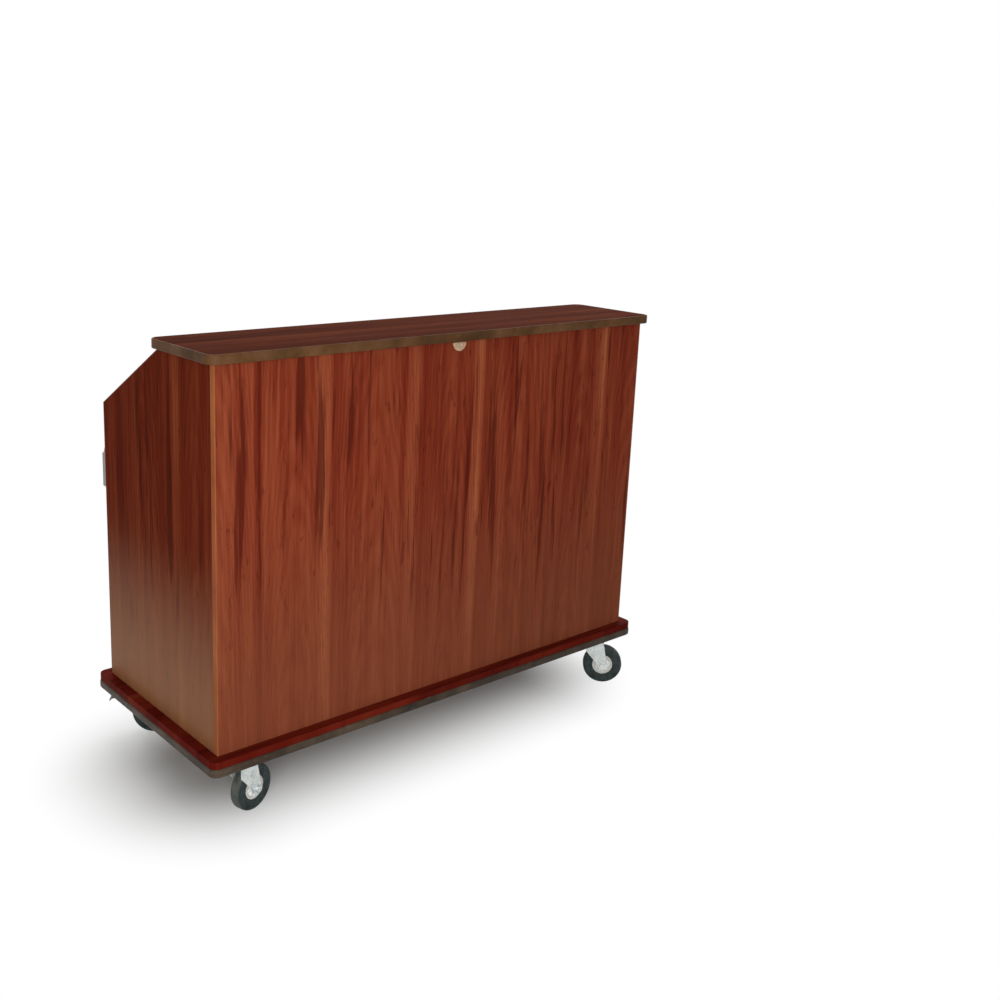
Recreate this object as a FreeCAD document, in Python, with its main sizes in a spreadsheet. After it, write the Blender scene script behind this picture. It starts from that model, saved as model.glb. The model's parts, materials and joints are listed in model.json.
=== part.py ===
import FreeCAD, Part
import math
import operator
import os
import Sketcher

# Portable bar on swivel casters. Millimetres, +Z up, origin on the floor under the middle of the
# whole bar. The guests stand at -Y, the bartender at +Y. Names that end in share are plain ratios.
SIZES = {
    # cabinet
    "body_width": 1524,
    "body_depth": 610,
    "body_height": 1005,
    "panel_thickness": 19,
    "edge_strip": 2,
    "front_edge_round": 3,
    "slope_start": 805,
    "slope_run": 335,
    # base
    "base_overhang": 32,
    "base_thickness": 44,
    "deck_thickness": 19,
    "bumper_thickness": 9,
    "bumper_proud": 2,
    "bumper_round": 7,
    "base_corner_radius": 26,
    "frame_inset": 12,
    "frame_rail_width": 90,
    # bar top
    "top_thickness": 25,
    "top_overhang": 22,
    "top_depth": 315,
    "top_corner_radius": 30,
    "top_band": 4,
    "top_band_round": 3,
    # worktop, its timber and the angle brackets
    "worktop_height": 786,
    "sheet_steel": 1.5,
    "upstand_height": 25,
    "marine_width": 7.5,
    "marine_height": 8,
    "worktop_hem": 18,
    "worktop_play": 1,
    "apron_height": 245,
    "cleat_size": 30,
    "bracket_leg": 40,
    "bracket_width": 22,
    "bracket_sheet": 2.5,
    "screw_diameter": 5,
    "screw_head_diameter": 9,
    "screw_head_height": 2.5,
    # badge
    "badge_radius": 24,
    "badge_thickness": 2,
    "badge_drop": 5,
    # ice bin and drain
    "bin_width": 470,
    "bin_length": 370,
    "bin_depth": 215,
    "bin_flange": 22,
    "bin_corner_radius": 20,
    "bin_setback": 40,
    "bin_jacket": 15,
    "divider_height": 190,
    "divider_sheet": 3,
    "divider_hem": 14,
    "guide_rib": 4,
    "guide_height": 160,
    "guide_play": 0.5,
    "drain_from_back": 95,
    "drain_from_middle": 118,
    "drain_hole_diameter": 44,
    "strainer_diameter": 72,
    "strainer_flange": 2,
    "strainer_hole_diameter": 7,
    "strainer_hole_circle": 22,
    "drain_bore_diameter": 14,
    "drain_nut_diameter": 54,
    "drain_nut_height": 14,
    "drain_neck_diameter": 26,
    "drain_neck_height": 10,
    "valve_diameter": 38,
    "valve_height": 34,
    "hose_tail_diameter": 19,
    "hose_tail_length": 30,
    "stem_boss_diameter": 18,
    "stem_boss_reach": 26,
    "spindle_diameter": 8,
    "spindle_nut_width": 13,
    "spindle_nut_height": 5,
    "lever_length": 72,
    "lever_width": 16,
    "lever_thickness": 4,
    # speed rails
    "rail_length": 450,
    "rail_inset": 18,
    "rail_reach": 100,
    "rail_drop": 250,
    "rail_lip": 100,
    "rail_lip_return": 8,
    "rail_sheet": 1.5,
    "rail_tongue": 6,
    "rail_end_drop": 8,
    "rail_end_shoulder": 24,
    # casters
    "caster_height": 155,
    "caster_inset_side": 87,
    "caster_inset_face": 25,
    "plate_margin": 10,
    "plate_thickness": 4,
    "plate_corner_radius": 6,
    "bolt_pitch_long": 75,
    "bolt_pitch_short": 44,
    "bolt_diameter": 8,
    "bolt_grip": 24,
    "bolt_head_width": 13,
    "bolt_head_height": 5.3,
    "race_diameter": 52,
    "race_height": 8,
    "kingpin_diameter": 12,
    "kingpin_head_diameter": 22,
    "kingpin_head_height": 7,
    "swivel_offset": 30,
    "crown_front": 27,
    "crown_back": 30,
    "brake_crown_front": 40,
    "crown_thickness": 5,
    "crown_brow": 30,
    "fork_gap": 40,
    "fork_sheet": 4,
    "axle_boss_diameter": 30,
    "axle_diameter": 10,
    "axle_nut_width": 17,
    "axle_nut_height": 8,
    "wheel_diameter": 127,
    "wheel_width": 32,
    "tread_round": 8,
    "hub_diameter": 66,
    "hub_width": 36,
    "hub_boss_diameter": 30,
    "hub_web": 14,
    "hub_rim": 5,
    "hub_rim_width": 26,
    "bushing_diameter": 15,
    # brake pedals on the two casters of the bartender's side
    "brake_ahead": 28,
    "brake_height": 122,
    "brake_pin_diameter": 6,
    "pedal_boss_diameter": 16,
    "pedal_reach": 62,
    "pedal_fall": 10,
    "pedal_toe": 8,
    "pedal_sheet": 4,
    "pedal_play": 2,
    # fits
    "running_clearance": 0.05,
    "shoe_clearance": 0.3,
    "swivel_clearance": 0.4,
    "side_play": 0.3,
    "bin_clearance": 2,
    "cut_overrun": 5,
}
QUARTER_TURN = 90
HALF_TURN = 180
FULL_TURN = 360
HEX_SIDES = 6
STRAINER_HOLES = 6

doc = FreeCAD.newDocument("portable_bar")
sheet = doc.addObject("Spreadsheet::Sheet", "dims")
for row, (alias, number) in enumerate(SIZES.items(), start=1):
    sheet.set(f"A{row}", alias)
    sheet.set(f"B{row}", str(number))
    sheet.setAlias(f"B{row}", alias)
doc.recompute()

OPERATIONS = {"+": operator.add, "-": operator.sub, "*": operator.mul, "/": operator.truediv}
nodes = []


# Sizes that carry both a number and the spreadsheet expression that gives it
class Size:
    def __init__(self, value, text):
        self.value = value
        self.text = text

    def __add__(self, other):
        return combine(self, "+", other)

    def __radd__(self, other):
        return combine(other, "+", self)

    def __sub__(self, other):
        return combine(self, "-", other)

    def __rsub__(self, other):
        return combine(other, "-", self)

    def __mul__(self, other):
        return combine(self, "*", other)

    def __rmul__(self, other):
        return combine(other, "*", self)

    def __truediv__(self, other):
        return combine(self, "/", other)

    def __neg__(self):
        return combine(0, "-", self)


def as_size(term):
    return term if isinstance(term, Size) else Size(term, repr(term))


def combine(left, sign, right):
    first = as_size(left)
    second = as_size(right)
    value = OPERATIONS[sign](first.value, second.value)
    return Size(value, f"({first.text} {sign} {second.text})")


def root_of(term):
    return Size(math.sqrt(term.value), f"sqrt({term.text})")


def dim(alias):
    return Size(float(sheet.get(alias)), f"dims.{alias}")


def bind(thing, prop, size):
    thing.setExpression(prop, as_size(size).text)


def place(thing, x, y, z, turn=FreeCAD.Rotation()):
    thing.Placement = FreeCAD.Placement(FreeCAD.Vector(), turn)
    bind(thing, "Placement.Base.x", x)
    bind(thing, "Placement.Base.y", y)
    bind(thing, "Placement.Base.z", z)


def about_z(angle):
    return FreeCAD.Rotation(FreeCAD.Vector(0, 0, 1), angle)


def about_x(angle):
    return FreeCAD.Rotation(FreeCAD.Vector(1, 0, 0), angle)


# Sketches and features
def new_body(label):
    body = doc.addObject("PartDesign::Body", label)
    body.Label = label
    return body


def origin_part(body, role):
    return next(item for item in body.Origin.OriginFeatures if item.Role == role)


def sketch_on(body, plane, lift=0):
    sketch = body.newObject("Sketcher::SketchObject", f"{body.Label}_sketch")
    sketch.AttachmentSupport = [(origin_part(body, plane), "")]
    sketch.MapMode = "FlatFace"
    bind(sketch, "AttachmentOffset.Base.z", lift)
    return sketch


def hold_point(sketch, geometry, end, x, y):
    for kind, size in (("DistanceX", as_size(x)), ("DistanceY", as_size(y))):
        index = sketch.addConstraint(Sketcher.Constraint(kind, -1, 1, geometry, end, size.value))
        bind(sketch, f"Constraints[{index}]", size)


def polygon(sketch, corners):
    first = sketch.GeometryCount
    points = [FreeCAD.Vector(as_size(x).value, as_size(y).value, 0) for x, y in corners]
    count = len(points)
    for step in range(count):
        sketch.addGeometry(Part.LineSegment(points[step], points[(step + 1) % count]), False)
    for step in range(count):
        following = first + (step + 1) % count
        sketch.addConstraint(Sketcher.Constraint("Coincident", first + step, 2, following, 1))
    for step, (x, y) in enumerate(corners):
        hold_point(sketch, first + step, 1, x, y)


def rectangle(sketch, width, height, x=0, y=0):
    left = x - width / 2
    low = y - height / 2
    polygon(sketch, [(left, low), (left + width, low), (left + width, low + height), (left, low + height)])


def circle(sketch, x, y, diameter):
    centre = FreeCAD.Vector(as_size(x).value, as_size(y).value, 0)
    radius = diameter / 2
    ring = sketch.addGeometry(Part.Circle(centre, FreeCAD.Vector(0, 0, 1), radius.value), False)
    hold_point(sketch, ring, 3, x, y)
    index = sketch.addConstraint(Sketcher.Constraint("Radius", ring, radius.value))
    bind(sketch, f"Constraints[{index}]", radius)


def pad(body, sketch, length, side="One side", flip=False):
    feature = body.newObject("PartDesign::Pad", f"{body.Label}_pad")
    feature.Profile = sketch
    feature.SideType = side
    feature.Reversed = flip
    bind(feature, "Length", length)
    return feature


def cut(body, sketch, length=None):
    feature = body.newObject("PartDesign::Pocket", f"{body.Label}_cut")
    feature.Profile = sketch
    feature.SideType = "Symmetric"
    if length is None:
        feature.Type = "ThroughAll"
    else:
        bind(feature, "Length", length)
    return feature


def turned(body, corners, plane="YZ_Plane", axis="Y_Axis"):
    sketch = sketch_on(body, plane)
    polygon(sketch, corners)
    feature = body.newObject("PartDesign::Revolution", f"{body.Label}_turned")
    feature.Profile = sketch
    feature.ReferenceAxis = (origin_part(body, axis), [""])
    feature.Angle = FULL_TURN
    return feature


def round_edges(body, radius, wanted):
    doc.recompute()
    base = body.Tip
    edges = [f"Edge{n}" for n, edge in enumerate(base.Shape.Edges, start=1) if wanted(edge)]
    feature = body.newObject("PartDesign::Fillet", f"{body.Label}_round")
    feature.Base = (base, edges)
    bind(feature, "Radius", radius)
    return feature


def is_upright(edge):
    return math.isclose(edge.BoundBox.ZLength, edge.Length, rel_tol=1e-6)


def lies_at(edge, width):
    return math.isclose(abs(edge.CenterOfMass.x), width.value / 2, rel_tol=1e-6)


def upright_at(width):
    return lambda edge: is_upright(edge) and lies_at(edge, width)


def level_at(width):
    return lambda edge: lies_at(edge, width) and not is_upright(edge)


# Plain solids and groups
def box(label, length, width, height, x, y, z):
    solid = doc.addObject("Part::Box", label)
    solid.Label = label
    bind(solid, "Length", length)
    bind(solid, "Width", width)
    bind(solid, "Height", height)
    place(solid, x, y, z)
    return solid


def cylinder(label, diameter, height, x, y, z, turn=FreeCAD.Rotation()):
    solid = doc.addObject("Part::Cylinder", label)
    solid.Label = label
    bind(solid, "Radius", diameter / 2)
    bind(solid, "Height", height)
    place(solid, x, y, z, turn)
    return solid


def hexagon(label, across_flats, height, x, y, z):
    solid = doc.addObject("Part::Prism", label)
    solid.Label = label
    solid.Polygon = HEX_SIDES
    bind(solid, "Circumradius", across_flats / root_of(as_size(3)))
    bind(solid, "Height", height)
    place(solid, x, y, z)
    return solid


def fused(label, solids):
    joined = doc.addObject("Part::MultiFuse", label)
    joined.Label = label
    joined.Shapes = solids
    return joined


def group(label, solids):
    bundle = doc.addObject("Part::Compound", label)
    bundle.Label = label
    bundle.Links = solids
    nodes.append(bundle)
    return bundle


def node(thing):
    nodes.append(thing)
    return thing


# Main levels and faces
panel = dim("panel_thickness")
steel = dim("sheet_steel")
running = dim("running_clearance")
overrun = dim("cut_overrun")
half_width = dim("body_width") / 2
inner_half = half_width - panel
inner_width = dim("body_width") - 2 * panel
overall_depth = dim("base_overhang") + dim("body_depth") + dim("rail_reach")
front_y = dim("base_overhang") - overall_depth / 2
rear_y = front_y + dim("body_depth")
middle_y = front_y + dim("body_depth") / 2
inner_front_y = front_y + panel
floor_z = dim("caster_height") + dim("base_thickness")
top_z = floor_z + dim("body_height")
worktop_z = floor_z + dim("worktop_height")
side_depth = dim("body_depth") - panel


# Base: deck, timber frame under it and the bumper that goes round the frame
base_width = dim("body_width") + 2 * dim("base_overhang")
base_depth = dim("body_depth") + 2 * dim("base_overhang")
frame_height = dim("base_thickness") - dim("deck_thickness")
frame_width = base_width - 2 * (dim("bumper_thickness") + dim("frame_inset"))
frame_depth = base_depth - 2 * (dim("bumper_thickness") + dim("frame_inset"))
caster_x = half_width - dim("caster_inset_side")
caster_y = dim("body_depth") / 2 - dim("caster_inset_face")
# Each caster has its place, the degrees that its wheel trails round from +X, and whether it has a brake
CASTERS = {
    "fl": (-caster_x, middle_y - caster_y, 15, False),
    "fr": (caster_x, middle_y - caster_y, -45, False),
    "rl": (-caster_x, middle_y + caster_y, -35, True),
    "rr": (caster_x, middle_y + caster_y, HALF_TURN, True),
}
CORNERS = [(across, along) for across in (-1, 1) for along in (-1, 1)]


def bolt_places(x, y):
    for across, along in CORNERS:
        yield x + across * dim("bolt_pitch_long") / 2, y + along * dim("bolt_pitch_short") / 2


def base():
    deck = new_body("base_deck")
    sketch = sketch_on(deck, "XY_Plane")
    rectangle(sketch, base_width - 2 * dim("bumper_proud"), base_depth - 2 * dim("bumper_proud"))
    pad(deck, sketch, dim("deck_thickness"))
    round_edges(deck, dim("base_corner_radius") - dim("bumper_proud"), is_upright)
    place(deck, 0, middle_y, floor_z - dim("deck_thickness"))
    node(deck)

    bumper = new_body("base_bumper")
    sketch = sketch_on(bumper, "XY_Plane")
    inside_width = base_width - 2 * dim("bumper_thickness")
    rectangle(sketch, base_width, base_depth)
    rectangle(sketch, inside_width, base_depth - 2 * dim("bumper_thickness"))
    pad(bumper, sketch, frame_height)
    round_edges(bumper, dim("base_corner_radius") - dim("bumper_thickness"), upright_at(inside_width))
    round_edges(bumper, dim("base_corner_radius"), upright_at(base_width))
    round_edges(bumper, dim("bumper_round"), level_at(base_width))
    place(bumper, 0, middle_y, dim("caster_height"))
    node(bumper)

    rail_y = middle_y - frame_depth / 2
    rear_rail_y = middle_y + frame_depth / 2 - dim("frame_rail_width")
    long_rails = []
    for name, y in (("front", rail_y), ("rear", rear_rail_y)):
        beam = box(f"{name}_beam", frame_width, dim("frame_rail_width"), frame_height,
                   -frame_width / 2, y, dim("caster_height"))
        pilots = [cylinder(f"{name}_pilot", dim("bolt_diameter") + 2 * running, dim("bolt_grip"),
                           bolt_x, bolt_y, dim("caster_height") - dim("plate_thickness"))
                  for x, caster_row, turn, braked in CASTERS.values()
                  if braked == (name == "rear")
                  for bolt_x, bolt_y in bolt_places(x, caster_row)]
        holes = doc.addObject("Part::Compound", f"{name}_pilots")
        holes.Links = pilots
        drilled = doc.addObject("Part::Cut", f"{name}_rail")
        drilled.Base = beam
        drilled.Tool = holes
        long_rails.append(drilled)
    group("base_long_rails", long_rails)

    span = frame_depth - 2 * dim("frame_rail_width")
    cross_starts = (-frame_width / 2, -dim("frame_rail_width") / 2,
                    frame_width / 2 - dim("frame_rail_width"))
    group("base_cross_rails", [
        box("cross_rail", dim("frame_rail_width"), span, frame_height,
            x, rail_y + dim("frame_rail_width"), dim("caster_height"))
        for x in cross_starts])


# Cabinet: front, sides with a sloping rear edge, edge strips and the apron
def cabinet():
    front = new_body("front_panel")
    sketch = sketch_on(front, "XY_Plane")
    rectangle(sketch, dim("body_width"), panel)
    pad(front, sketch, dim("body_height"))
    round_edges(front, dim("front_edge_round"), lambda edge: is_upright(edge) and edge.CenterOfMass.y < 0)
    place(front, 0, front_y + panel / 2, floor_z)
    node(front)

    rise = dim("body_height") - dim("slope_start")
    slope_length = root_of(rise * rise + dim("slope_run") * dim("slope_run"))
    lean_cosine_share = rise / slope_length
    lean_sine_share = dim("slope_run") / slope_length
    strip = dim("edge_strip")
    bend_drop = strip * (1 - lean_cosine_share) / lean_sine_share
    top_reach = side_depth - dim("slope_run")
    outer = [(side_depth, 0), (side_depth, dim("slope_start")), (top_reach, dim("body_height"))]
    inner = [
        (side_depth - strip, 0),
        (side_depth - strip, dim("slope_start") - bend_drop),
        (top_reach - strip / lean_cosine_share, dim("body_height")),
    ]
    for side, x in (("left", -half_width), ("right", inner_half)):
        for label, corners in ((f"{side}_side_panel", [(0, 0), *inner, (0, dim("body_height"))]),
                               (f"{side}_edge_strip", [*outer, *reversed(inner)])):
            piece = new_body(label)
            sketch = sketch_on(piece, "YZ_Plane")
            polygon(sketch, corners)
            pad(piece, sketch, panel)
            place(piece, x, inner_front_y, floor_z)
            node(piece)

    node(box("rear_apron", inner_width, panel, dim("apron_height"),
             -inner_half, rear_y - steel - panel, worktop_z - steel - dim("apron_height")))


# Bar top: board, moulded band round its edge and the timber that holds it
def bar_top():
    band = dim("top_band")
    board_width = dim("body_width") + 2 * (dim("top_overhang") - band)
    board_depth = dim("top_depth") - 2 * band
    board_y = front_y - dim("top_overhang") + dim("top_depth") / 2
    board = new_body("top_board")
    sketch = sketch_on(board, "XY_Plane")
    rectangle(sketch, board_width, board_depth)
    pad(board, sketch, dim("top_thickness"))
    round_edges(board, dim("top_corner_radius") - band, is_upright)
    place(board, 0, board_y, top_z)
    node(board)

    edge_band = new_body("top_edge_band")
    band_width = board_width + 2 * band
    sketch = sketch_on(edge_band, "XY_Plane")
    rectangle(sketch, band_width, board_depth + 2 * band)
    rectangle(sketch, board_width, board_depth)
    pad(edge_band, sketch, dim("top_thickness"))
    round_edges(edge_band, dim("top_corner_radius") - band, upright_at(board_width))
    round_edges(edge_band, dim("top_corner_radius"), upright_at(band_width))
    round_edges(edge_band, dim("top_band_round"), level_at(band_width))
    place(edge_band, 0, board_y, top_z)
    node(edge_band)

    cleat = dim("cleat_size")
    side_length = side_depth - dim("slope_run") - panel - cleat
    solids = [box("top_front_cleat", inner_width, cleat, cleat, -inner_half, inner_front_y, top_z - cleat)]
    for x in (-inner_half, inner_half - cleat):
        solids.append(box("top_side_cleat", cleat, side_length, cleat,
                          x, inner_front_y + cleat, top_z - cleat))
    group("top_cleats", solids)


# Worktop: folded sheet with an upstand, a raised front edge and an opening for the ice bin
bin_front_y = rear_y - dim("bin_setback")
bin_middle_y = bin_front_y - dim("bin_length") / 2
bin_floor_z = worktop_z - dim("bin_depth")


def worktop():
    counter = new_body("worktop")
    play = dim("worktop_play")
    ridge_back = side_depth - dim("marine_width")
    ridge = dim("marine_height")
    sketch = sketch_on(counter, "YZ_Plane")
    polygon(sketch, [
        (play, dim("upstand_height")),
        (play + steel, dim("upstand_height")),
        (play + steel, 0),
        (ridge_back, 0),
        (ridge_back, ridge),
        (side_depth, ridge),
        (side_depth, -dim("worktop_hem")),
        (side_depth - steel, -dim("worktop_hem")),
        (side_depth - steel, ridge - steel),
        (ridge_back + steel, ridge - steel),
        (ridge_back + steel, -steel),
        (play, -steel),
    ])
    pad(counter, sketch, inner_width - 2 * play, side="Symmetric")
    hole = sketch_on(counter, "XY_Plane")
    margin = 2 * (steel + dim("bin_clearance"))
    rectangle(hole, dim("bin_width") + margin, dim("bin_length") + margin, 0, bin_middle_y - inner_front_y)
    cut(counter, hole, 2 * (steel + overrun))
    place(counter, 0, inner_front_y, worktop_z)
    node(counter)

    cleat = dim("cleat_size")
    low = worktop_z - steel - cleat
    side_length = side_depth - steel - panel
    solids = []
    for x in (-inner_half, inner_half - cleat):
        solids.append(box("worktop_side_cleat", cleat, side_length, cleat, x, inner_front_y, low))
    solids.append(box("worktop_front_cleat", inner_width - 2 * cleat, cleat, cleat,
                      cleat - inner_half, inner_front_y, low))
    group("worktop_cleats", solids)


# Angle brackets along the foot of the panels, each held by two round-headed screws
FRONT_BRACKET_SHARES = (-0.32, 0, 0.32)
SIDE_BRACKET_SHARES = (0.28, 0.72)


def bracket_places():
    for share in FRONT_BRACKET_SHARES:
        yield share * dim("body_width"), inner_front_y, 0
    for share in SIDE_BRACKET_SHARES:
        yield -inner_half, inner_front_y + share * side_depth, -QUARTER_TURN
        yield inner_half, inner_front_y + share * side_depth, QUARTER_TURN


def screw(x, y, turn, upright):
    body = new_body("bracket_screw")
    head = dim("screw_head_diameter") / 2
    shank = dim("screw_diameter") / 2
    thick = dim("bracket_sheet")
    turned(body, [(0, 0), (shank, 0), (shank, thick), (head, thick),
                  (shank, thick + dim("screw_head_height")), (0, thick + dim("screw_head_height"))],
           "XZ_Plane", "Z_Axis")
    reach = dim("bracket_leg") / 2
    facing = FreeCAD.Rotation() if upright else about_x(-QUARTER_TURN)
    across = FreeCAD.Vector(0, 1, 0) if upright else FreeCAD.Vector(0, 0, 1)
    offset = turn.multVec(across)
    place(body, x + reach * round(offset.x), y + reach * round(offset.y), floor_z + reach * round(offset.z),
          turn.multiply(facing))
    return body


def brackets():
    leg = dim("bracket_leg")
    thick = dim("bracket_sheet")
    hole = dim("screw_diameter") + 2 * running
    angles = []
    screws = []
    for x, y, angle in bracket_places():
        body = new_body("angle_bracket")
        sketch = sketch_on(body, "YZ_Plane")
        polygon(sketch, [(0, 0), (leg, 0), (leg, thick), (thick, thick), (thick, leg), (0, leg)])
        pad(body, sketch, dim("bracket_width"), side="Symmetric")
        drill = sketch_on(body, "XY_Plane")
        circle(drill, 0, leg / 2, hole)
        cut(body, drill, 2 * (thick + running))
        drill = sketch_on(body, "XZ_Plane")
        circle(drill, 0, leg / 2, hole)
        cut(body, drill, 2 * (thick + running))
        turn = about_z(angle)
        place(body, x, y, floor_z, turn)
        angles.append(body)
        screws += [screw(x, y, turn, upright) for upright in (True, False)]
    group("angle_brackets", angles)
    group("bracket_screws", screws)


# Blank half-round badge under the front of the bar top
def badge():
    plate = doc.addObject("Part::Cylinder", "badge_plate")
    plate.Label = "badge_plate"
    bind(plate, "Radius", dim("badge_radius"))
    bind(plate, "Height", dim("badge_thickness"))
    plate.Angle = HALF_TURN
    hanging = FreeCAD.Rotation(FreeCAD.Vector(-1, 0, 0), FreeCAD.Vector(0, 0, -1),
                               FreeCAD.Vector(0, -1, 0), "XYZ")
    place(plate, 0, front_y, top_z - dim("badge_drop"), hanging)
    node(plate)


# Ice bin: liner with a flange, foam jacket, lift-out divider, strainer and drain valve
drain_x = dim("drain_from_middle")
drain_y = bin_front_y - dim("bin_length") + dim("drain_from_back")
jacket_low = dim("bin_depth") + steel + dim("bin_jacket")


def ice_bin():
    liner = new_body("ice_bin_liner")
    wide = dim("bin_width") + 2 * steel
    long = dim("bin_length") + 2 * steel
    flange_width = dim("bin_width") + 2 * dim("bin_flange")
    shell = sketch_on(liner, "XY_Plane", -dim("bin_depth") - steel)
    rectangle(shell, wide, long)
    pad(liner, shell, dim("bin_depth") + steel)
    flange = sketch_on(liner, "XY_Plane")
    rectangle(flange, flange_width, dim("bin_length") + 2 * dim("bin_flange"))
    pad(liner, flange, steel)
    hollow = sketch_on(liner, "XY_Plane", steel)
    rectangle(hollow, dim("bin_width"), dim("bin_length"))
    cut(liner, hollow, 2 * (dim("bin_depth") + steel))
    round_edges(liner, dim("bin_corner_radius"), upright_at(dim("bin_width")))
    round_edges(liner, dim("bin_corner_radius") + steel, upright_at(wide))
    round_edges(liner, dim("bin_corner_radius"), upright_at(flange_width))
    drain = sketch_on(liner, "XY_Plane", -dim("bin_depth"))
    circle(drain, drain_x, drain_y - bin_middle_y, dim("drain_hole_diameter"))
    cut(liner, drain, 2 * (steel + overrun))
    ribs = sketch_on(liner, "XY_Plane", -dim("bin_depth"))
    rib = dim("guide_rib")
    rib_x = dim("divider_sheet") / 2 + dim("guide_play") + rib / 2
    rib_y = dim("bin_length") / 2 - rib
    for across, along in CORNERS:
        rectangle(ribs, rib, 2 * rib, across * rib_x, along * rib_y)
    pad(liner, ribs, dim("guide_height"))
    place(liner, 0, bin_middle_y, worktop_z)
    node(liner)

    jacket = new_body("ice_bin_jacket")
    foam = dim("bin_jacket")
    block = sketch_on(jacket, "XY_Plane", -jacket_low)
    rectangle(block, wide + 2 * foam, long + 2 * foam)
    pad(jacket, block, jacket_low - steel)
    seat = sketch_on(jacket, "XY_Plane")
    rectangle(seat, wide, long)
    cut(jacket, seat, 2 * (dim("bin_depth") + steel))
    drain = sketch_on(jacket, "XY_Plane", -jacket_low)
    circle(drain, drain_x, drain_y - bin_middle_y, dim("drain_hole_diameter"))
    cut(jacket, drain, 2 * (foam + overrun))
    place(jacket, 0, bin_middle_y, worktop_z)
    node(jacket)

    divider = new_body("bin_divider")
    sheet_half = dim("divider_sheet") / 2
    hem_half = dim("divider_hem") / 2
    profile = sketch_on(divider, "XZ_Plane")
    tall = dim("divider_height")
    polygon(profile, [(-sheet_half, 0), (sheet_half, 0), (sheet_half, tall - hem_half),
                      (hem_half, tall - hem_half), (hem_half, tall), (-hem_half, tall),
                      (-hem_half, tall - hem_half), (-sheet_half, tall - hem_half)])
    pad(divider, profile, dim("bin_length") - 2 * dim("bin_clearance"), side="Symmetric")
    place(divider, 0, bin_middle_y, bin_floor_z)
    node(divider)


def drain():
    bore = dim("drain_bore_diameter") / 2
    sleeve = dim("drain_hole_diameter") / 2 - running
    below = steel + dim("bin_jacket")
    strainer = new_body("drain_strainer")
    rim = dim("strainer_diameter") / 2
    flat = dim("strainer_flange")
    turned(strainer, [(0, 0), (sleeve - flat, 0), (sleeve - flat, -below), (sleeve, -below), (sleeve, 0),
                      (rim, 0), (sleeve, flat), (0, flat)], "XZ_Plane", "Z_Axis")
    hole = sketch_on(strainer, "XY_Plane")
    circle(hole, dim("strainer_hole_circle") / 2, 0, dim("strainer_hole_diameter"))
    drilled = cut(strainer, hole, 2 * (flat + running))
    ring = strainer.newObject("PartDesign::PolarPattern", "strainer_ring")
    ring.Originals = [drilled]
    ring.Axis = (origin_part(strainer, "Z_Axis"), [""])
    ring.Angle = FULL_TURN
    ring.Occurrences = STRAINER_HOLES
    strainer.Tip = ring
    place(strainer, drain_x, drain_y, bin_floor_z)
    node(strainer)

    nut = dim("drain_nut_diameter") / 2
    neck = dim("drain_neck_diameter") / 2
    ball = dim("valve_diameter") / 2
    tail = dim("hose_tail_diameter") / 2
    nut_low = -dim("drain_nut_height")
    ball_top = nut_low - dim("drain_neck_height")
    ball_low = ball_top - dim("valve_height")
    ball_z = ball_top - dim("valve_height") / 2
    tail_low = ball_low - dim("hose_tail_length")
    shoulder = ball - neck
    valve = new_body("drain_valve")
    turned(valve, [(bore, 0), (nut, 0), (nut, nut_low), (neck, nut_low), (neck, ball_top),
                   (ball, ball_top - shoulder), (ball, ball_low + shoulder), (neck, ball_low),
                   (tail, ball_low), (tail, tail_low), (bore, tail_low)], "XZ_Plane", "Z_Axis")
    boss = sketch_on(valve, "XZ_Plane")
    circle(boss, 0, ball_z, dim("stem_boss_diameter"))
    pad(valve, boss, dim("stem_boss_reach"), flip=True)
    spindle = sketch_on(valve, "XZ_Plane")
    circle(spindle, 0, ball_z, dim("spindle_diameter"))
    lever_back = dim("stem_boss_reach") + dim("side_play")
    lever_front = lever_back + dim("lever_thickness") + dim("side_play")
    pad(valve, spindle, lever_front + dim("spindle_nut_height"), flip=True)
    nut_face = sketch_on(valve, "XZ_Plane", -lever_front)
    circle(nut_face, 0, ball_z, dim("spindle_nut_width"))
    pad(valve, nut_face, dim("spindle_nut_height"), flip=True)
    passage = sketch_on(valve, "XY_Plane")
    circle(passage, 0, 0, dim("drain_bore_diameter"))
    cut(valve, passage)
    valve_z = bin_floor_z - below
    place(valve, drain_x, drain_y, valve_z)
    node(valve)

    lever = new_body("drain_lever")
    arm = sketch_on(lever, "XZ_Plane")
    half = dim("lever_width") / 2
    polygon(arm, [(0, -half), (dim("lever_length"), -half), (dim("lever_length"), half), (0, half)])
    pad(lever, arm, dim("lever_thickness"), flip=True)
    eye = sketch_on(lever, "XZ_Plane")
    circle(eye, 0, 0, dim("stem_boss_diameter"))
    pad(lever, eye, dim("lever_thickness"), flip=True)
    hole = sketch_on(lever, "XZ_Plane")
    circle(hole, 0, 0, dim("spindle_diameter") + 2 * running)
    cut(lever, hole)
    place(lever, drain_x, drain_y + lever_back, valve_z + ball_z)
    node(lever)


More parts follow.
